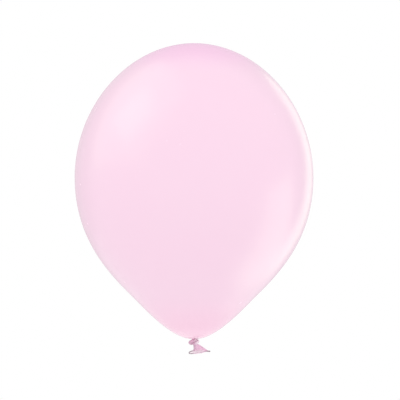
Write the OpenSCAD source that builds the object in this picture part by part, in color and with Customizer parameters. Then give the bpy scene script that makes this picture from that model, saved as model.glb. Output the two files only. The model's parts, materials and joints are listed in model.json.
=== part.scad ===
// An inflated latex balloon, tied off in an overhand knot, standing neck down.
// The origin is the tie, where the body narrows to the knot. +Z runs up to the crown.
// The neck's free end leans forward, towards -Y, and to the right, towards +X.

/* [Body] */
// Diameter of the body at its widest ring
body_d = 300; // [250:5:360]
// Height of the crown above the tie
body_h = 371; // [320:1:450]
// Height of the widest ring above the tie
equator_h = 202; // [165:1:245]
// Thickness of the skin
film = 0.3; // [0.25:0.01:0.6]
// How full the crown is, where 0.552 would be an ellipse
crown_fullness = 0.54; // [0.44:0.01:0.65]
// How full the side is below the widest ring
hip_fullness = 0.55; // [0.44:0.01:0.66]
// Slope of the flank above level, in degrees
flank_angle = 46; // [38:1:56]
// Diameter of the body where the flank turns into the rounded base
flank_d = 140; // [116:1:170]
// Height of that place above the tie
flank_h = 45; // [37:1:54]

/* [Gather] */
// Diameter of the bunched skin at the tie
gather_d = 10; // [9:0.5:14]
// Height of the bunched skin inside the body
gather_h = 7; // [6.5:0.5:10]
// Length of the neck root that turns inside the bunched skin
root_l = 4.5; // [3.5:0.25:5.5]

/* [Knot] */
// Diameter of the stretched neck in the knot
strand_d = 3.2; // [2.6:0.1:3.9]
// Bare neck between the body and the knot
waist_h = 1.5; // [1.4:0.1:2.2]
// Height above the tie at which the knot sways
sway_lift = 0.5; // [0.3:0.1:1]
// Bare neck between the knot and the middle of the tail's bend
exit_drop = 1; // [0.8:0.1:1.3]

/* [Tail] */
// Width of the flattened mouth
mouth_w = 26.6; // [22:0.5:32]
// Height of the mouth's opening, across the flattened sleeve
mouth_gap = 7.6; // [6:0.2:9.2]
// Length of the tail below its bend
tail_l = 6.1; // [5:0.1:7.4]
// How far the mouth lies to the right of the tail's bend
tail_shift = 5; // [3:0.5:6]
// How far the tail leans forward, in degrees
tail_lean = 35; // [20:1:42]
// How far the mouth's right end is tipped up, in degrees
mouth_tip = 6; // [0:1:10]
// How far the mouth's two ends droop below its middle
mouth_droop = 1.2; // [0:0.1:2]
// Thickness of the tail's wall
tail_wall = 0.5; // [0.4:0.05:0.7]
// Diameter of the rolled lip round the mouth
lip_d = 1.8; // [1.5:0.1:2.2]

/* [Fits] */
// Gap all round the neck root where it turns in the gather
turn_gap = 0.05; // [0.02:0.01:0.1]
// Gap all round each fold's barrel in its trough
fold_gap = 0.08; // [0.03:0.01:0.1]
// Gap between neighbouring strands of the knot
strand_gap = 0.1; // [0.05:0.05:0.3]
// Wall of each trough round its barrel
fold_wall = 0.6; // [0.5:0.05:0.8]
// How far each barrel stands out from its strand
fold_lip = 0.2; // [0.1:0.05:0.3]

/* [Hidden] */

skin_pink = [0.976, 0.851, 0.918];
neck_pink = [0.902, 0.729, 0.835];

outline_steps = 20; // flats along each span of the body's outline
turned_fn = 120; // sides of a turned shape
strand_sides = 12; // sides of the knotted strand
knot_step = 6; // degrees of the knot's own turn between rings
lead_steps = 7; // rings along each end of the knotted strand
sleeve_sides = 48; // sides of the tail's sleeve
sleeve_steps = 12; // rings down the tail's sleeve
lip_sides = 10; // sides of the rolled lip, with a flat towards the tail

// ---- Curves ----------------------------------------------------------------

function unit(v) = v / norm(v);
function mix(a, b, t) = a + (b - a) * t;

// A cubic curve through p[0] and p[3], pulled towards p[1] and p[2].
function bezier(p, t) =
    pow(1 - t, 3) * p[0] + 3 * pow(1 - t, 2) * t * p[1]
    + 3 * (1 - t) * t * t * p[2] + t * t * t * p[3];
function bezier_slope(p, t) =
    3 * pow(1 - t, 2) * (p[1] - p[0]) + 6 * (1 - t) * t * (p[2] - p[1])
    + 3 * t * t * (p[3] - p[2]);

// ---- The body's outline, from the crown down to the tie ---------------------

crown = [0, body_h];
equator = [body_d / 2, equator_h];
flank = [flank_d / 2, flank_h];
tie = [gather_d / 2, 0];
uphill = [cos(flank_angle), sin(flank_angle)];
// How far each joint between two spans pulls on them
flank_pull = 0.45 * (body_d - flank_d) / 2;
base_pull = 0.4 * (flank_d - gather_d) / 2;
tie_pull = 0.3 * (flank_d - gather_d) / 2;

crown_span = [
    crown, crown + [crown_fullness * body_d / 2, 0],
    equator + [0, crown_fullness * (body_h - equator_h)], equator
];
hip_span = [
    equator, equator - [0, hip_fullness * (equator_h - flank_h)],
    flank + flank_pull * uphill, flank
];
base_span = [flank, flank - base_pull * uphill, tie + [tie_pull, 0], tie];

// Points along one span, set in from it by the given depth.
function span_points(p, inset, first = 0) = [
    for (i = [first:outline_steps])
        let (t = i / outline_steps, run = unit(bezier_slope(p, t)))
            bezier(p, t) + inset * [run[1], -run[0]]
];
function outline(inset) = concat(
    span_points(crown_span, inset),
    span_points(hip_span, inset, 1),
    span_points(base_span, inset, 1)
);
function reversed(list) = [for (i = [len(list) - 1:-1:0]) list[i]];

// ---- Strands and sleeves as rings of points ---------------------------------

// A solid skinned over a list of rings that have the same number of points.
module loft(rings) {
    sides = len(rings[0]);
    last = len(rings) - 1;
    walls = [
        for (i = [0:last - 1], j = [0:sides - 1])
            let (a = i * sides + j, b = i * sides + (j + 1) % sides)
                each [[a, b, b + sides], [a, b + sides, a + sides]]
    ];
    first_cap = [for (j = [sides - 1:-1:0]) j];
    last_cap = [for (j = [0:sides - 1]) last * sides + j];
    polyhedron([for (ring = rings) each ring], concat(walls, [first_cap, last_cap]));
}

// The same over a closed loop of rings, the last of which meets the first.
module closed_loft(rings) {
    sides = len(rings[0]);
    count = len(rings);
    walls = [
        for (i = [0:count - 1], j = [0:sides - 1])
            let (
                k = (i + 1) % count,
                a = i * sides + j, b = i * sides + (j + 1) % sides,
                c = k * sides + (j + 1) % sides, d = k * sides + j
            ) each [[a, b, c], [a, c, d]]
    ];
    polyhedron([for (ring = rings) each ring], walls);
}

// A ring of points round a centre, in the plane of two directions across it.
function ring(centre, side, up, r, sides) = [
    for (j = [0:sides - 1])
        let (a = 360 * j / sides) centre + r * (cos(a) * side + sin(a) * up)
];

// One side direction for each place on a route, carried along without spin.
function carried(runs, side, i = 0) =
    i == len(runs) ? [] :
    let (square = unit(side - (side * runs[i]) * runs[i]))
        concat([square], carried(runs, square, i + 1));

// The direction of a route at each of its points.
function runs_of(route) = [
    for (i = [0:len(route) - 1])
        unit(route[min(i + 1, len(route) - 1)] - route[max(i - 1, 0)])
];

module strand(route, r) {
    runs = runs_of(route);
    sides = carried(runs, [1, 0, 0]);
    loft([
        for (i = [0:len(route) - 1])
            ring(route[i], sides[i], cross(sides[i], runs[i]), r, strand_sides)
    ]);
}

// ---- The knot's route --------------------------------------------------------

strand_r = strand_d / 2;
fold_r = strand_r + fold_lip;
barrel_l = 1.5 * fold_r;
trough_r = fold_r + fold_gap;
root_r = trough_r + fold_wall;

// An overhand knot is a trefoil with its third outer turn let out at the two ends. The
// trefoil winds round a ring: 2 turns about the ring's axis and 3 round its own wrap.
wrap_r = strand_r + strand_gap;
ring_r = wrap_r + (strand_d + strand_gap) / sqrt(3);
knot_mid_z = -(waist_h + wrap_r + strand_r);
knot_turn = 90; // brings the knot's flat side to the front
enter_at = 60; // where the strand joins the trefoil, in degrees of its own turn
leave_at = 300;

function trefoil(t) =
    let (r = ring_r + wrap_r * cos(3 * t), about = 2 * t + knot_turn)
        [r * cos(about), r * sin(about), knot_mid_z + wrap_r * sin(3 * t)];
function trefoil_run(t) = unit(trefoil(t + 0.5) - trefoil(t - 0.5));

sway_at = [0, 0, sway_lift];
exit_spread = 1.2; // how much further out than the last inner pass the strand leaves
tail_bend_at = [
    exit_spread * trefoil(leave_at)[0], exit_spread * trefoil(leave_at)[1],
    knot_mid_z - wrap_r - strand_r - exit_drop
];
lead_pull = strand_r;
lead_in = [
    sway_at, sway_at - [0, 0, lead_pull],
    trefoil(enter_at) - lead_pull * trefoil_run(enter_at), trefoil(enter_at)
];
lead_out = [
    trefoil(leave_at), trefoil(leave_at) + lead_pull * trefoil_run(leave_at),
    tail_bend_at + [0, 0, lead_pull], tail_bend_at
];
knot_route = concat(
    [for (i = [0:lead_steps - 1]) bezier(lead_in, i / lead_steps)],
    [for (t = [enter_at:knot_step:leave_at]) trefoil(t)],
    [for (i = [1:lead_steps]) bezier(lead_out, i / lead_steps)]
);

// ---- The tail's sleeve -------------------------------------------------------

grip_drop = 0.8; // the tail's trough covers its barrel from this far below the middle
cavity_step = 5; // ring of the sleeve at which its two walls part
tail_top = tail_bend_at - [0, 0, grip_drop];
mouth_across = [cos(mouth_tip), 0, sin(mouth_tip)];
mouth_back = [0, cos(tail_lean), -sin(tail_lean)];
mouth_out = cross(mouth_back, mouth_across);
mouth_mid = tail_top + [tail_shift, -tail_l * tan(tail_lean) / 2, -tail_l];
tail_line = [
    tail_top, tail_top - [0, 0, 0.4 * tail_l],
    mouth_mid - 0.3 * tail_l * mouth_out, mouth_mid
];

// How far t is on from where the walls part to the mouth, as a share.
function parted(t) = max(0, t * sleeve_steps - cavity_step) / (sleeve_steps - cavity_step);

// A ring of the sleeve at t, from 0 at its bend to 1 at its mouth, set in by a depth.
function sleeve_ring(t, inset) =
    let (
        centre = bezier(tail_line, t),
        across = unit(mix([1, 0, 0], mouth_across, t)),
        back = unit(mix([0, 1, 0], mouth_back, t)),
        half_w = mix(root_r, mouth_w / 2, pow(t, 1.2)) - inset,
        half_gap = mix(root_r, mouth_gap / 2, t) - 1.4 * t * (1 - t) - inset
    ) [
        for (j = [0:sleeve_sides - 1])
            let (a = 360 * j / sleeve_sides)
                centre + half_w * cos(a) * across + half_gap * sin(a) * back
                - [0, 0, mouth_droop * pow(parted(t) * cos(a), 2)]
    ];

outer_rings = [for (i = [0:sleeve_steps]) sleeve_ring(i / sleeve_steps, 0)];
inner_rings = [
    for (i = [sleeve_steps:-1:cavity_step])
        sleeve_ring(i / sleeve_steps, tail_wall)
];

// ---- Parts -------------------------------------------------------------------

// The inflated skin, closed all round, with the bunched skin at its tie.
module envelope() {
    pocket_r = root_r + turn_gap;
    pocket_h = root_l + turn_gap;
    bunch = [[0, gather_h], [gather_d / 4, 0.9 * gather_h], [gather_d / 2, film]];
    color(skin_pink) rotate_extrude($fn = turned_fn) polygon(concat(
        outline(0),
        [[pocket_r, 0], [pocket_r, pocket_h], [0, pocket_h]],
        bunch,
        reversed(outline(film))
    ));
}

// A barrel along the axis of a fold, or the trough that it turns in.
module fold(at, about, r, l) {
    translate(at) rotate(about) cylinder(h = l, r = r, center = true, $fn = turned_fn);
}
across_y = [90, 0, 0];
across_x = [0, 90, 0];

// The pinched root of the neck. It turns in the bunched skin and holds the knot's barrel.
module neck_root() {
    color(neck_pink) difference() {
        translate(sway_at) cylinder(h = root_l - sway_lift, r = root_r, $fn = turned_fn);
        fold(sway_at, across_y, trough_r, 3 * root_r);
    }
}

// The neck tied in an overhand knot, with a barrel at each end for the two folds.
module knot() {
    color(neck_pink) {
        strand(knot_route, strand_r);
        fold(sway_at, across_y, fold_r, barrel_l);
        fold(tail_bend_at, across_x, fold_r, barrel_l);
    }
}

// The free end of the neck, flattened and flared, and open at its mouth.
module neck_tail() {
    color(neck_pink) difference() {
        loft(concat(outer_rings, inner_rings));
        fold(tail_bend_at, across_x, trough_r, 3 * root_r);
    }
}

// The lip rolled up round the mouth. One of its flats meets the end of the tail's wall.
module rolled_lip() {
    rim = sleeve_ring(1, tail_wall / 2);
    count = len(rim);
    to_flat = lip_d / 2 * cos(180 / lip_sides);
    color(neck_pink) closed_loft([
        for (i = [0:count - 1])
            let (
                run = unit(rim[(i + 1) % count] - rim[(i + count - 1) % count]),
                side = unit(cross(run, mouth_out)),
                out = cross(side, run)
            ) ring(rim[i] + to_flat * out, side, out, lip_d / 2, lip_sides)
    ]);
}

envelope();
neck_root();
knot();
neck_tail();
rolled_lip();
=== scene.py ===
# %% [markdown]
# # An inflated balloon, tied with its own neck
# A latex balloon is one skin. It is dipped on a former, its rim is rolled into a lip, and it is
# filled and tied. Blender makes the parts of that skin that a person can name: the body with the
# pleats at its tie, the knot, the flattened tail below the knot, and the lip. They are built around
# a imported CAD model, which already fixes every size, place and joint.

# %% Load the frame
import json
import math
import random

import bpy
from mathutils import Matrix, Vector


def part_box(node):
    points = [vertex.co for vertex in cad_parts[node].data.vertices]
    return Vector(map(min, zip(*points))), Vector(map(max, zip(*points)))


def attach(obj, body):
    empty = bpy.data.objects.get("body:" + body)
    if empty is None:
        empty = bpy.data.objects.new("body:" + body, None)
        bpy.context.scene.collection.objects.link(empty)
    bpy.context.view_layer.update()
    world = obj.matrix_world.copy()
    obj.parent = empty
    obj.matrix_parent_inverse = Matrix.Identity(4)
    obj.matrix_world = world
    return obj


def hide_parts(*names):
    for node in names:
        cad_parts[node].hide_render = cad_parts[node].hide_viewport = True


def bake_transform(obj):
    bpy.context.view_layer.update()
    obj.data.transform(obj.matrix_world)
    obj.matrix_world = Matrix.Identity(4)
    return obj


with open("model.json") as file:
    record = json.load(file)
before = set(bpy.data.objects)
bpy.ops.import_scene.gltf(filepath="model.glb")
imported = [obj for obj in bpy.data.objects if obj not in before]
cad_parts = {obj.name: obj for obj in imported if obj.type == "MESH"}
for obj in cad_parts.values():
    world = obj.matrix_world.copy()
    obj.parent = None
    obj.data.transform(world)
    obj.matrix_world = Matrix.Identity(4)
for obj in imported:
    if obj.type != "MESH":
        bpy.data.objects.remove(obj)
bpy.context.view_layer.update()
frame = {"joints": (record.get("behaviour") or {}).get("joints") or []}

# %% [markdown]
# ## Sizes
# Blender works in metres, and a balloon's neck is a few millimetres thick, so a value in
# millimetres is written as a number times `mm`. The body's width and height come from the CAD
# model, and so do the two places where the neck bends, which are the pivots of its joints.

# %% Read sizes and places from the frame
mm = 0.001
low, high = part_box("envelope")
body_r = (high.x - low.x) / 2
body_h = high.z
pivots = {joint["name"]: Vector(joint["pos_m"]) for joint in frame["joints"]}
sway_at = pivots["knot_sway"]
tail_bend_at = pivots["tail_flap"]
print(f"body {2 * body_r / mm:.0f} mm across and {body_h / mm:.0f} mm high above the tie")

# %% [markdown]
# ## The camera
# The camera stands level with the middle of the body, 2.5 m away, which is far enough for the body
# to look as wide as it is. The focal length follows from the share of the view's width that the body
# fills. The camera aims a little to the right of the axis, so the margin is wider on that side.

# %% Make the camera
camera_distance = 2.5
body_share = 0.596  # the body's width as a share of the view's
aim = Vector((7.5 * mm, 0, 174 * mm))
eye = aim - Vector((0, camera_distance, 0))
farthest_seen = 100

bpy.ops.object.camera_add(location=eye, rotation=(math.pi / 2, 0, 0))
camera = bpy.context.object
camera.name = "camera"
camera.data.lens = camera.data.sensor_width * camera_distance * body_share / (2 * body_r)
camera.data.clip_end = farthest_seen
bpy.context.scene.camera = camera
print(f"focal length {camera.data.lens:.0f} mm")

# %% [markdown]
# ## Light and floor
# A pastel balloon in a white studio is lit from everywhere, so the sky of the scene is an even
# white and gives nearly all the light. Four lamps are seen only in the gloss of the skin: a wide
# softbox up on the left with a smaller, brighter one inside it, a tall panel behind on the right, and
# a long reflector low on the right. Their light is faintly green, which keeps the gloss white on pink
# latex. Behind the balloon the studio is a little darker, and the skin mirrors that at its very edge,
# which draws a thin line round it.

# %% A helper that aims a lamp at the balloon
lamp_distance = 1.6
lamp_tint = (0.78, 1.0, 0.70)


def add_softbox(name, azimuth, elevation, width, height, radiance, turn=0):
    """An area lamp that shows only in gloss. Azimuth 0 is at the camera, and 90 is on the right."""
    azimuth, elevation = math.radians(azimuth), math.radians(elevation)
    level = Vector((math.sin(azimuth), -math.cos(azimuth), 0))
    outward = level * math.cos(elevation) + Vector((0, 0, math.sin(elevation)))
    middle = Vector((0, 0, body_h / 2))
    bpy.ops.object.light_add(type="AREA", location=middle + lamp_distance * outward)
    lamp = bpy.context.object
    lamp.name = name
    lamp.data.shape = "RECTANGLE"
    lamp.data.size = width
    lamp.data.size_y = height
    lamp.data.energy = radiance * math.pi * width * height
    lamp.data.color = lamp_tint
    lamp.rotation_euler = outward.to_track_quat("Z", "Y").to_euler()
    lamp.rotation_euler.rotate_axis("Z", math.radians(turn))
    lamp.visible_camera = False
    lamp.visible_diffuse = False
    print(name, "at", [round(v, 2) for v in lamp.location])


# %% Place the lamps
add_softbox("wide_softbox", -85, 43, 2.2, 2.2, 0.63, turn=10)
add_softbox("inner_softbox", -77, 41, 0.85, 0.85, 1.1, turn=-20)
add_softbox("back_panel", 140, -3, 0.6, 2.2, 1.0, turn=-12)
add_softbox("low_reflector", 98, -30, 1.0, 1.85, 1.25, turn=27)


# %% [markdown]
# ## Shader maths
# A finish is easier to read as an expression than as a list of nodes and links. `Term` wraps one
# output of a node. Adding or multiplying terms adds Math nodes, and `node` adds any other node.

# %% A small class for shader expressions
class Term:
    """One output socket in a material's node tree."""

    def __init__(self, tree, socket=None):
        self.tree = tree
        self.socket = socket

    def node(self, kind, settings=None, sockets=None, out=0):
        """Adds a node: its settings first, then the values or terms of its sockets."""
        made = self.tree.nodes.new(kind)
        for name, value in (settings or {}).items():
            setattr(made, name, value)
        for name, value in (sockets or {}).items():
            if isinstance(value, Term):
                self.tree.links.new(value.socket, made.inputs[name])
            else:
                made.inputs[name].default_value = value
        return Term(self.tree, made.outputs[out])

    def _math(self, operation, first, second):
        return self.node("ShaderNodeMath", {"operation": operation}, {0: first, 1: second})

    def __add__(self, other):
        return self._math("ADD", self, other)

    def __sub__(self, other):
        return self._math("SUBTRACT", self, other)

    def __rsub__(self, other):
        return self._math("SUBTRACT", other, self)

    def __mul__(self, other):
        return self._math("MULTIPLY", self, other)

    __radd__ = __add__
    __rmul__ = __mul__


# %% Helpers that most finishes share
uv_place, object_place = 2, 3  # outputs of the Texture Coordinate node


def new_finish(name):
    """A material with a Principled surface, and a term to build its expressions from."""
    material = bpy.data.materials.new(name)
    material.use_nodes = True
    surface = material.node_tree.nodes["Principled BSDF"]
    return material, surface, Term(material.node_tree)


def mix_color(share, first, second):
    """From the first colour at 0 to the second at 1."""
    sockets = {"Factor": share, "A": first, "B": second}
    return share.node("ShaderNodeMix", {"data_type": "RGBA"}, sockets, out=2)


def smooth_step(term, start, end):
    """0 before start, 1 after end, and a soft rise between."""
    sockets = {"Value": term, "From Min": start, "From Max": end}
    return term.node("ShaderNodeMapRange", {"interpolation_type": "SMOOTHSTEP"}, sockets)


def noise(place, scale, detail=2.0):
    """Soft random values from 0 to 1, with lumps 1 / scale metres across."""
    sockets = {"Vector": place, "Scale": scale, "Detail": detail}
    return place.node("ShaderNodeTexNoise", None, sockets)


# %% [markdown]
# ## The stretched skin's finish
# Stretched latex is thin and pale. It stays thicker at the crown, where the former's tip gathered
# latex, and at the base, where the neck held it back, and there the pigment is deeper. Right at the
# tie the colour is painted brighter: painted light that stands for light passing through the gathered
# skin and lifts the shade of the base, which faces down. The gloss is soft, because the skin carries
# a bloom of powder. The powder lies in faint clouds, so it feeds the roughness, and a very fine bump
# stands for the grain of the dip. A noise's second number is its lumps per metre.

# %% Make the stretched skin
pale_pink = (0.905, 0.655, 0.785, 1)
crown_pink = (0.925, 0.560, 0.790, 1)
base_pink = (0.930, 0.610, 0.755, 1)
# Painted light: the pink is brightened at the tie, standing for light through the gathered skin.
tie_painted_light_pink = (0.990, 0.685, 0.815, 1)
latex_ior = 1.5


def stretched_skin():
    material, surface, term = new_finish("stretched_skin")
    place = term.node("ShaderNodeTexCoord", out=object_place)
    height = term.node("ShaderNodeSeparateXYZ", None, {"Vector": place}, out=2)
    crown = smooth_step(height, body_h - 46 * mm, body_h + 2 * mm)
    base = 1 - smooth_step(height, 6 * mm, 62 * mm)
    # The tie mask is where the painted light goes.
    tie = 1 - smooth_step(height, 0, 18 * mm)
    clouds = noise(place, 14.0, 3.0)
    powder = noise(place, 60.0, 4.0)
    roughness = 0.20 + 0.10 * powder
    grain = noise(place, 1800.0, 2.0)
    relief = {"Strength": 0.04, "Distance": 0.05 * mm, "Height": grain}
    bump = term.node("ShaderNodeBump", None, relief)
    links = material.node_tree.links
    color = mix_color(base, mix_color(crown, pale_pink, crown_pink), base_pink)
    color = mix_color(tie, color, tie_painted_light_pink)
    color = mix_color(0.12 * clouds, color, crown_pink)
    links.new(color.socket, surface.inputs["Base Color"])
    links.new(roughness.socket, surface.inputs["Roughness"])
    links.new(bump.socket, surface.inputs["Normal"])
    surface.inputs["IOR"].default_value = latex_ior
    return material


skin_finish = stretched_skin()
print("made", skin_finish.name)

# %% [markdown]
# ## The neck's finish
# The neck was hardly stretched, so its latex is thick, and its pink is deeper and duller. The
# sleeve is creased along its length and the lip shows the edge of its roll, so their fine relief
# is streaked: it is a noise that is squeezed one way, on the sheet's own UV map. The knot's relief
# has no direction. The inside of the sleeve is painted paler, a painted light that lifts the shade
# inside the mouth, and an attribute called `inside` says where that is.

# %% Make the neck's latex
# Painted light: the pale colour painted inside the sleeve and on the lip's far side.
painted_light_white = (0.96, 0.84, 0.90, 1)


def neck_latex(name, light, dark, coordinates, squeeze, relief, tint):
    """coordinates is uv_place or object_place, squeeze is the noise's scale, relief is in metres."""
    material, surface, term = new_finish(name)
    place = term.node("ShaderNodeTexCoord", out=object_place)
    clouds = noise(place, 260.0, 2.0)
    color = tint(place, mix_color(smooth_step(clouds, 0.3, 0.7), light, dark))
    inside = term.node("ShaderNodeAttribute", {"attribute_name": "inside"}, out=2)
    # Painted light: the inside of the sleeve is mixed toward the pale colour.
    color = mix_color(inside, color, painted_light_white)
    pattern = term.node("ShaderNodeTexCoord", out=coordinates)
    pattern = pattern.node("ShaderNodeMapping", None, {"Vector": pattern, "Scale": squeeze})
    streaks = noise(pattern, 1.0, 3.0)
    relief = {"Strength": 0.35, "Distance": relief, "Height": streaks}
    bump = term.node("ShaderNodeBump", None, relief)
    links = material.node_tree.links
    links.new(color.socket, surface.inputs["Base Color"])
    links.new((0.24 + 0.16 * clouds).socket, surface.inputs["Roughness"])
    links.new(bump.socket, surface.inputs["Normal"])
    surface.inputs["IOR"].default_value = latex_ior
    return material


# %% [markdown]
# Colour changes within a piece. The knot is painted paler on its right, a painted light that lifts
# the shade there. The sleeve is painted darker down its left edge, a painted shade along the fold.
# The lip's two corners are painted dark grey, a painted shade, and its far side, where the mouth is
# open, is painted pale, a painted light. The knot's and the lip's tints follow X, which runs across
# the front, and Y, which runs to the back. The sleeve bends, so its tint follows its own UV map.

# %% Tints, painted light and painted shade across a piece
# Painted light: the knot's pale right side.
knot_painted_light_pink = (0.87, 0.79, 0.85, 1)
# Painted shade: the sleeve's dark left edge.
sleeve_painted_shade_pink = (0.56, 0.39, 0.49, 1)
# Painted shade: the lip's dark corners.
lip_painted_shade_grey = (0.33, 0.26, 0.30, 1)
mouth_middle_x = 7.4 * mm
fold_at = 0.5  # the left edge, on a UV map that runs once round from the right edge


def coordinate(place, axis):
    return place.node("ShaderNodeSeparateXYZ", None, {"Vector": place}, out=axis)


def distance_between(term, place):
    return term.node("ShaderNodeMath", {"operation": "ABSOLUTE"}, {0: term - place})


def knot_tint(place, color):
    # Painted light: paler towards the knot's right.
    lit_right_side = smooth_step(coordinate(place, 0), -1 * mm, 5 * mm)
    return mix_color(lit_right_side, color, knot_painted_light_pink)


def sleeve_tint(place, color):
    around = coordinate(place.node("ShaderNodeTexCoord", out=uv_place), 0)
    # Painted shade: darker down the sleeve's left edge.
    past_fold = smooth_step(distance_between(around, fold_at), 0.05, 0.2)
    return mix_color(past_fold, sleeve_painted_shade_pink, color)


def lip_tint(place, color):
    along_mouth = coordinate(place, 0)
    corner = smooth_step(distance_between(along_mouth, mouth_middle_x), 4 * mm, 12 * mm)
    # Painted shade: the lip darkens towards both corners.
    color = mix_color(corner, color, lip_painted_shade_grey)
    open_half = 1 - smooth_step(along_mouth, 8 * mm, 11 * mm)
    # Painted light: the far side of the open half of the lip is painted pale.
    far_side_painted_light = smooth_step(coordinate(place, 1), -2.6 * mm, -1.3 * mm) * open_half
    return mix_color(far_side_painted_light, color, painted_light_white)


# %% Make the finishes of the knot, the sleeve and the lip
knot_dark, knot_light = (0.60, 0.34, 0.47, 1), (0.68, 0.41, 0.55, 1)
sleeve_dark, sleeve_light = (0.79, 0.53, 0.68, 1), (0.84, 0.58, 0.73, 1)
lip_dark, lip_light = (0.79, 0.52, 0.67, 1), (0.84, 0.57, 0.72, 1)
lump, streak, roll = (700, 700, 700), (46, 2.5, 1), (9, 7, 1)

knot_finish = neck_latex(
    "knot_latex", knot_light, knot_dark, object_place, lump, 0.06 * mm, knot_tint
)
sleeve_finish = neck_latex(
    "sleeve_latex", sleeve_light, sleeve_dark, uv_place, streak, 0.08 * mm, sleeve_tint
)
lip_finish = neck_latex(
    "lip_latex", lip_light, lip_dark, uv_place, roll, 0.06 * mm, lip_tint
)
print("made", knot_finish.name + ",", sleeve_finish.name, "and", lip_finish.name)


# %% [markdown]
# ## Working by hand, in code
# Blender's operators act on what is selected, so each step first selects one object and nothing
# else. A modifier is applied as soon as it is set, so that every piece ends as a plain mesh.

# %% Helpers for modelling
def select_only(piece):
    bpy.ops.object.select_all(action="DESELECT")
    piece.select_set(True)
    bpy.context.view_layer.objects.active = piece


def apply_modifier(piece, kind, **settings):
    select_only(piece)
    modifier = piece.modifiers.new(kind.lower(), kind)
    for name, value in settings.items():
        setattr(modifier, name, value)
    bpy.ops.object.modifier_apply(modifier=modifier.name)


def tidy_mesh(piece, merge=0.001 * mm):
    """Merges doubled points and turns every face outwards."""
    select_only(piece)
    bpy.ops.object.mode_set(mode="EDIT")
    bpy.ops.mesh.select_all(action="SELECT")
    bpy.ops.mesh.remove_doubles(threshold=merge)
    bpy.ops.mesh.normals_make_consistent(inside=False)
    bpy.ops.object.mode_set(mode="OBJECT")


def close_holes(piece):
    """Fills every open ring of edges with a fan of faces."""
    select_only(piece)
    bpy.ops.object.mode_set(mode="EDIT")
    bpy.ops.mesh.select_all(action="DESELECT")
    bpy.ops.mesh.select_mode(type="EDGE")
    bpy.ops.mesh.select_non_manifold(extend=False)
    bpy.ops.mesh.edge_face_add()
    bpy.ops.mesh.poke()
    bpy.ops.object.mode_set(mode="OBJECT")


def finish_piece(piece, name, material):
    piece.name = name
    piece.data.name = name
    piece.data.materials.clear()
    piece.data.materials.append(material)
    select_only(piece)
    bpy.ops.object.shade_smooth()
    print(name, "has", sum(len(face.vertices) - 2 for face in piece.data.polygons), "triangles")


# %% [markdown]
# ## The body
# A balloon's body is turned about its axis, so half its outline is drawn once and spun. The outline
# has three curved spans: the crown, the hip below the widest ring, and the base, which turns in to
# the tie. A Bezier curve is how a person would draw it, with a point where two spans meet and two
# handles that pull on them. Below the tie, the skin runs on as a short bare neck.

# %% Draw half the body's outline
crown = Vector((0, 0, body_h))
equator = Vector((body_r, 0, 202 * mm))
flank = Vector((70 * mm, 0, 45 * mm))
flank_slope = math.radians(46)
tie_r = 5 * mm
tie = Vector((tie_r, 0, 0))
neck_r = 2.0 * mm
neck_end = Vector((neck_r, 0, -1.9 * mm))

# The share of each span's width or height that its handles reach.
crown_reach, hip_reach, upper_flank_reach, lower_flank_reach, base_reach = 0.54, 0.55, 0.45, 0.4, 0.3
sideways, up = Vector((1, 0, 0)), Vector((0, 0, 1))
uphill = math.cos(flank_slope) * sideways + math.sin(flank_slope) * up
outline = [  # handle before, point, handle after
    (crown, crown, crown + crown_reach * body_r * sideways),
    (
        equator + crown_reach * (body_h - equator.z) * up,
        equator,
        equator - hip_reach * (equator.z - flank.z) * up,
    ),
    (
        flank + upper_flank_reach * (body_r - flank.x) * uphill,
        flank,
        flank - lower_flank_reach * (flank.x - tie_r) * uphill,
    ),
    (tie + base_reach * (flank.x - tie_r) * sideways, tie, tie - 2.4 * mm * sideways),
    (neck_end + Vector((0.1 * mm, 0, 1.2 * mm)), neck_end, neck_end),
]
points_in_a_span = 34

bpy.ops.object.select_all(action="DESELECT")
bpy.ops.curve.primitive_bezier_curve_add(location=(0, 0, 0))
body_skin = bpy.context.object
spline = body_skin.data.splines[0]
spline.bezier_points.add(len(outline) - 2)
for point, (before, place, after) in zip(spline.bezier_points, outline):
    point.handle_left_type = "FREE"
    point.handle_right_type = "FREE"
    point.handle_left, point.co, point.handle_right = before, place, after
body_skin.data.dimensions = "3D"
body_skin.data.resolution_u = points_in_a_span
bpy.ops.object.convert(target="MESH")
print("outline of", len(body_skin.data.vertices), "points")

# %% [markdown]
# The pleats need a finer net than the rest, so the outline's edges near the tie are subdivided
# before the spin.

# %% Spin the outline into the body
body_sides = 224
pleats_end_h = 9 * mm

select_only(body_skin)
bpy.ops.object.mode_set(mode="EDIT")
bpy.ops.mesh.select_all(action="DESELECT")
bpy.ops.mesh.select_mode(type="EDGE")
bpy.ops.object.mode_set(mode="OBJECT")
points = body_skin.data.vertices
for edge in body_skin.data.edges:
    middle = (points[edge.vertices[0]].co + points[edge.vertices[1]].co) / 2
    edge.select = 0 < middle.z < pleats_end_h
bpy.ops.object.mode_set(mode="EDIT")
bpy.ops.mesh.subdivide(number_cuts=3)
bpy.ops.mesh.select_all(action="SELECT")
bpy.ops.mesh.spin(steps=body_sides, angle=2 * math.pi, center=(0, 0, 0), axis=(0, 0, 1))
bpy.ops.object.mode_set(mode="OBJECT")
tidy_mesh(body_skin)
close_holes(body_skin)
tidy_mesh(body_skin)

# %% [markdown]
# Where the wide body is drawn into the narrow neck, the spare skin stands in small folds that fade
# as they run out. No two are the same, so the fold's wave is a sum of a few waves with random
# starts. A fold is a vertical ripple where the base is level, and a ripple in radius on the neck.

# %% Gather the pleats
random.seed(12)
pleat_waves = [(count, random.uniform(0, 2 * math.pi)) for count in (7, 11, 16, 23)]
pleat_depth = 0.75 * mm
pleat_reach = 30 * mm
usual_peak = 2.2  # how high the four waves add up where they meet
cap_r = 0.1 * mm  # nearer the axis there is only the middle of the neck's closed end


def pleat(angle):
    """The height of the pleats at an angle round the tie, from about -1 to 1."""
    return sum(math.cos(count * angle + start) for count, start in pleat_waves) / usual_peak


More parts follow.
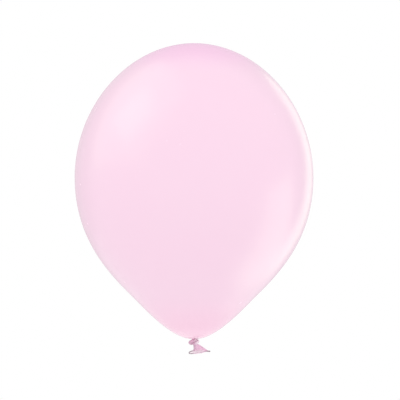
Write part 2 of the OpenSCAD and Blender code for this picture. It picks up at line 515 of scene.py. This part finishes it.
for point in body_skin.data.vertices:
    outward = Vector((point.co.x, point.co.y, 0))
    distance = outward.length
    if point.co.z > body_h / 2 or not cap_r <= distance <= pleat_reach:
        continue
    fade = (1 - distance / pleat_reach) ** 3
    rise = pleat(math.atan2(point.co.y, point.co.x)) * pleat_depth * fade
    on_neck = max(0.0, min(1.0, (tie_r - distance) / (tie_r - neck_r)))
    point.co += (1 - on_neck) * rise * up + on_neck * rise / 2 * outward.normalized()
print("pleats reach", round(pleat_reach / mm), "mm from the axis")

# %% [markdown]
# The skin is a wall and not a lump, so Solidify gives it an inner face. The real film is about
# 0.02 mm thick once it is stretched; the wall here is the CAD model's 0.3 mm.

# %% Give the skin its wall
film = 0.3 * mm

apply_modifier(body_skin, "SOLIDIFY", thickness=film, offset=-1)
finish_piece(body_skin, "body_skin", skin_finish)

# %% [markdown]
# ## The knot
# The neck is tied in an overhand knot. Its line is a trefoil, which winds twice round a ring while
# it wraps three times round itself, with the third outer turn let out at the two ends. The strand
# is the neck's tube, rolled and stretched until it is nearly round, with creases along it. It is
# swept along the line as a bevelled curve.

# %% The knot's line
strand_r = 1.6 * mm
strand_gap = 0.1 * mm
waist = 1.5 * mm
wrap_r = strand_r + strand_gap
ring_r = wrap_r + (2 * strand_r + strand_gap) / math.sqrt(3)
knot_middle = -(waist + wrap_r + strand_r)
enter_at, leave_at = 60, 300


def trefoil(degrees):
    t = math.radians(degrees)
    r = ring_r + wrap_r * math.cos(3 * t)
    about = 2 * t + math.pi / 2
    rise = wrap_r * math.sin(3 * t)
    return Vector((r * math.cos(about), r * math.sin(about), knot_middle + rise))


def bezier(start, pull, push, end, t):
    s = 1 - t
    return s**3 * start + 3 * s * s * t * pull + 3 * s * t * t * push + t**3 * end


def run(degrees):
    """A step of one strand radius along the trefoil."""
    return (trefoil(degrees + 0.5) - trefoil(degrees - 0.5)).normalized() * strand_r


down = -strand_r * up
lead_in = (sway_at, sway_at + down, trefoil(enter_at) - run(enter_at), trefoil(enter_at))
lead_out = (trefoil(leave_at), trefoil(leave_at) + run(leave_at), tail_bend_at - down, tail_bend_at)
lead_steps = 12
knot_line = (
    [bezier(*lead_in, i / lead_steps) for i in range(lead_steps)]
    + [trefoil(degrees) for degrees in range(enter_at, leave_at, 4)]
    + [bezier(*lead_out, i / lead_steps) for i in range(lead_steps + 1)]
)
length = sum((b - a).length for a, b in zip(knot_line, knot_line[1:]))
print("the knot takes", round(length / mm), "mm of neck")

# %% Draw the strand's creased section
creases = [(2, 0.08, 0.4), (5, 0.05, 1.9), (9, 0.055, 4.4)]  # count, depth, start
creased_r = 1.74 * mm

bpy.ops.object.select_all(action="DESELECT")
bpy.ops.mesh.primitive_circle_add(vertices=56, radius=creased_r)
section = bpy.context.object
for point in section.data.vertices:
    angle = math.atan2(point.co.y, point.co.x)
    point.co *= 1 + sum(depth * math.cos(count * angle + start) for count, depth, start in creases)
bpy.ops.object.convert(target="CURVE")

# %% [markdown]
# Each point of a curve has a tilt and a radius. The tilt turns the creases a little as they run, and
# the radius makes the strand fuller on the left, where it is slack, and narrow where it ends inside
# the sleeve.

# %% Sweep the section along the knot's line
crease_turn = 2.5  # in radians, from one end to the other
slack = 0.1
narrow_steps, narrow_share = 10, 0.55

bpy.ops.object.select_all(action="DESELECT")
bpy.ops.curve.primitive_nurbs_path_add(location=(0, 0, 0))
knot = bpy.context.object
knot.data.splines.clear()
spline = knot.data.splines.new("POLY")
spline.points.add(len(knot_line) - 1)
for i, place in enumerate(knot_line):
    spline.points[i].co = (*place, 1)
    from_end = min(1.0, (len(knot_line) - 1 - i) / narrow_steps)
    fullness = 1 + slack * max(0.0, -place.x / ring_r)
    spline.points[i].tilt = crease_turn * i / len(knot_line)
    spline.points[i].radius = fullness * (narrow_share + (1 - narrow_share) * from_end)
knot.data.bevel_mode = "OBJECT"
knot.data.bevel_object = section
knot.data.use_fill_caps = True
select_only(knot)
bpy.ops.object.convert(target="MESH")
bpy.data.objects.remove(section)
tidy_mesh(knot)

# %% [markdown]
# Pulled tight, the turns press into each other and no hole is left between them. A ball fills the
# middle, a voxel remesh joins all of it into one surface, and a few passes of smoothing round the
# valleys. The skin above pulls the middle of the knot up into a low dome, which still clears the body
# when the knot swings.

# %% Press the turns together
filling_r = 3.3 * mm
filling_at = (0.8 * mm, 0, knot_middle + 0.3 * mm)
voxel = 0.13 * mm
dome_rise = 0.35
dome_r = 3 * mm
dome_top = -0.2 * mm

bpy.ops.object.select_all(action="DESELECT")
bpy.ops.mesh.primitive_uv_sphere_add(radius=filling_r, location=filling_at)
knot.select_set(True)
bpy.context.view_layer.objects.active = knot
bpy.ops.object.join()
apply_modifier(knot, "REMESH", mode="VOXEL", voxel_size=voxel, use_smooth_shade=True)
apply_modifier(knot, "SMOOTH", factor=0.5, iterations=4)
for point in knot.data.vertices:
    if point.co.z > knot_middle:
        lift = 1 + dome_rise * math.exp(-((point.co.x / dome_r) ** 2))
        lifted = knot_middle + (point.co.z - knot_middle) * lift
        point.co.z = min(lifted, max(point.co.z, dome_top))
finish_piece(knot, "tied_knot", knot_finish)

# %% [markdown]
# ## The tail
# Below the knot the neck fans out again. It lies flat, as it came off the former, and it leans
# forward. It is drawn as a sheet of squares that is rolled into a sleeve: one direction of the
# sheet runs round the sleeve, and the other runs from inside the knot down to the mouth. The left
# half of the mouth gapes and the right half is pressed shut.

# %% The sleeve's sizes
sleeve_top = tail_bend_at + Vector((0.6 * mm, 0, 2.2 * mm))
sleeve_top_pull = Vector((0.7 * mm, 0, -2.8 * mm))
mouth_middle = tail_bend_at + Vector((4.9 * mm, -2.6 * mm, -6.7 * mm))
mouth_pull = Vector((1.9 * mm, 1.3 * mm, 2.8 * mm))
throat_half, throat_swell = 2 * mm, 1 * mm  # half the sleeve's width in the knot, and just below it
fan_spread = 6.6 * mm
mouth_half = 12.8 * mm
mouth_lean = math.radians(42)
mouth_tip = math.radians(4.5)
throat_gap, gape, pinch = 1.75 * mm, 3.4 * mm, 0.55 * mm  # half gaps: throat, open half, shut half
corner_droop = 1.1 * mm
fold_depth = 0.16 * mm


# %% The sleeve's shape
def ease(t, start=0.0, end=1.0):
    t = max(0.0, min(1.0, (t - start) / (end - start)))
    return t * t * (3 - 2 * t)


def mix(a, b, t):
    return a + (b - a) * t


def sleeve_point(around, along):
    """A point of the sleeve, round it in radians and from 0 in the knot to 1 at the mouth."""
    lean = mouth_lean * ease(along)
    tip = mouth_tip * along
    wide = Vector((math.cos(tip), 0, math.sin(tip)))
    back = Vector((0, math.cos(lean), -math.sin(lean)))
    pulls = sleeve_top + sleeve_top_pull, mouth_middle + mouth_pull
    middle = bezier(sleeve_top, *pulls, mouth_middle, along)
    share = math.cos(around)  # 1 at the right edge and -1 at the left
    half_width = throat_half + throat_swell * ease(along, 0, 0.15) + fan_spread * along
    half_width += (mouth_half - throat_half - throat_swell - fan_spread) * along**8
    mouth_gap = mix(gape, pinch, ease(share, 0.05, 0.65))
    half_gap = mix(throat_gap, mouth_gap, ease(along, 0.1, 1.0)) * abs(math.sin(around)) ** 0.8
    half_gap = math.copysign(half_gap, math.sin(around))
    folds = math.sin(9 * around + 2.5) + 0.6 * math.sin(14 * around + 0.7)
    folds *= fold_depth * (1 - along) * ease(along, 0, 0.2)
    droop = corner_droop * along**2 * share**2
    return middle + half_width * share * wide + (half_gap + folds) * back - droop * up


print("the mouth is", round(2 * mouth_half / mm), "mm across")

# %% Roll a sheet into the sleeve
def roll_sheet(around_count, along_count, place):
    """A grid whose X runs once round a piece and whose Y runs along it, each from 0 to 1."""
    bpy.ops.object.select_all(action="DESELECT")
    bpy.ops.mesh.primitive_grid_add(x_subdivisions=around_count, y_subdivisions=along_count, size=1)
    sheet = bpy.context.object
    for point in sheet.data.vertices:
        point.co = place(2 * math.pi * (point.co.x + 0.5), point.co.y + 0.5)
    tidy_mesh(sheet)
    return sheet


def face_outwards(piece):
    """Turns an open sleeve's faces away from its middle, where make_consistent may guess wrong."""
    faces = piece.data.polygons
    middle = sum((face.center for face in faces), Vector()) / len(faces)
    if sum(face.normal.dot(face.center - middle) for face in faces) < 0:
        piece.data.flip_normals()
    return piece


sleeve_wall = 0.32 * mm

tail = face_outwards(roll_sheet(112, 36, sleeve_point))
inner_points = tail.vertex_groups.new(name="inner_wall")
wall = {"thickness": sleeve_wall, "offset": -1, "use_even_offset": True}
apply_modifier(tail, "SOLIDIFY", shell_vertex_group=inner_points.name, **wall)
tidy_mesh(tail)
apply_modifier(tail, "SUBSURF", levels=1, render_levels=1)

# %% [markdown]
# Solidify puts the inner wall's points in a vertex group. A material can't read a group, so its
# weights are copied to an attribute.

# %% Mark the inside of the sleeve
inside = tail.data.attributes.new("inside", "FLOAT", "POINT")
for point in tail.data.vertices:
    weights = [group.weight for group in point.groups]
    inside.data[point.index].value = max(weights, default=0.0)
tail.vertex_groups.clear()
finish_piece(tail, "neck_sleeve", sleeve_finish)

# %% [markdown]
# ## The rolled lip
# The rim is rolled on itself while the latex is wet, and it cures as a solid bead. The bead follows
# the sleeve's mouth. Hand rolling leaves it a little uneven.

# %% Roll the lip
random.seed(7)
lip_waves = [(count, random.uniform(0, 2 * math.pi)) for count in (3, 7, 12)]
lip_r = 0.65 * mm
unevenness = 0.05


def lip_point(around, along):
    """A point of the bead, round the mouth and then round the bead's own section."""
    step = 0.01
    here = sleeve_point(around, 1.0)
    run = (sleeve_point(around + step, 1.0) - sleeve_point(around - step, 1.0)).normalized()
    out = (here - sleeve_point(around, 0.97)).normalized()
    side = run.cross(out).normalized()
    out = side.cross(run)
    turn = 2 * math.pi * along
    section = math.cos(turn) * side + math.sin(turn) * out
    uneven = 1 + unevenness * sum(math.sin(count * around + start) for count, start in lip_waves)
    return here + lip_r * (out / 2 + uneven * section)


lip = roll_sheet(160, 20, lip_point)
finish_piece(lip, "rolled_lip_bead", lip_finish)

# %% [markdown]
# ## The stage
# The balloon hangs well clear of a wide pale floor, so that no hard shadow falls under it and the
# low reflector can stand above the floor.

# %% Make the floor
floor_z = -1.9
floor_r = 6.5
nearly_white = (0.98, 0.98, 0.98, 1)

bpy.ops.object.select_all(action="DESELECT")
bpy.ops.mesh.primitive_circle_add(vertices=128, radius=floor_r, fill_type="NGON", location=(0, 0, floor_z))
floor = bpy.context.object
floor.name = "floor"
floor_finish, floor_surface, _ = new_finish("pale_floor")
floor_surface.inputs["Base Color"].default_value = nearly_white
floor_surface.inputs["Roughness"].default_value = 0.9
floor.data.materials.append(floor_finish)

# %% [markdown]
# The sky's brightness is an expression too. It falls behind the balloon, where Y is positive, and the
# camera itself sees plain white.

# %% Make the sky
sky_light, sky_light_behind = 1.11, 0.71

world = bpy.data.worlds.new("studio")
world.use_nodes = True
bpy.context.scene.world = world
sky = Term(world.node_tree)
background = world.node_tree.nodes["Background"]
background.inputs["Color"].default_value = (1, 1, 1, 1)
direction = sky.node("ShaderNodeTexCoord", out=0)
depth = sky.node("ShaderNodeSeparateXYZ", None, {"Vector": direction}, out=1)
behind = smooth_step(depth, 0.3, 0.6)
brightness = sky_light - (sky_light - sky_light_behind) * behind
seen_by_camera = sky.node("ShaderNodeLightPath")
brightness = brightness + (1 - brightness) * seen_by_camera
world.node_tree.links.new(brightness.socket, background.inputs["Strength"])
bpy.context.scene.view_settings.view_transform = "Standard"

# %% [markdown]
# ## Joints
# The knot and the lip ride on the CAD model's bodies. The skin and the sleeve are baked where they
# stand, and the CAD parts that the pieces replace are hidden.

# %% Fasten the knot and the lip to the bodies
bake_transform(body_skin)
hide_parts("envelope", "neck_root")

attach(knot, "knot")
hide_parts("knot")

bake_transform(tail)
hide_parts("neck_tail")

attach(lip, "tail")
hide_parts("rolled_lip")
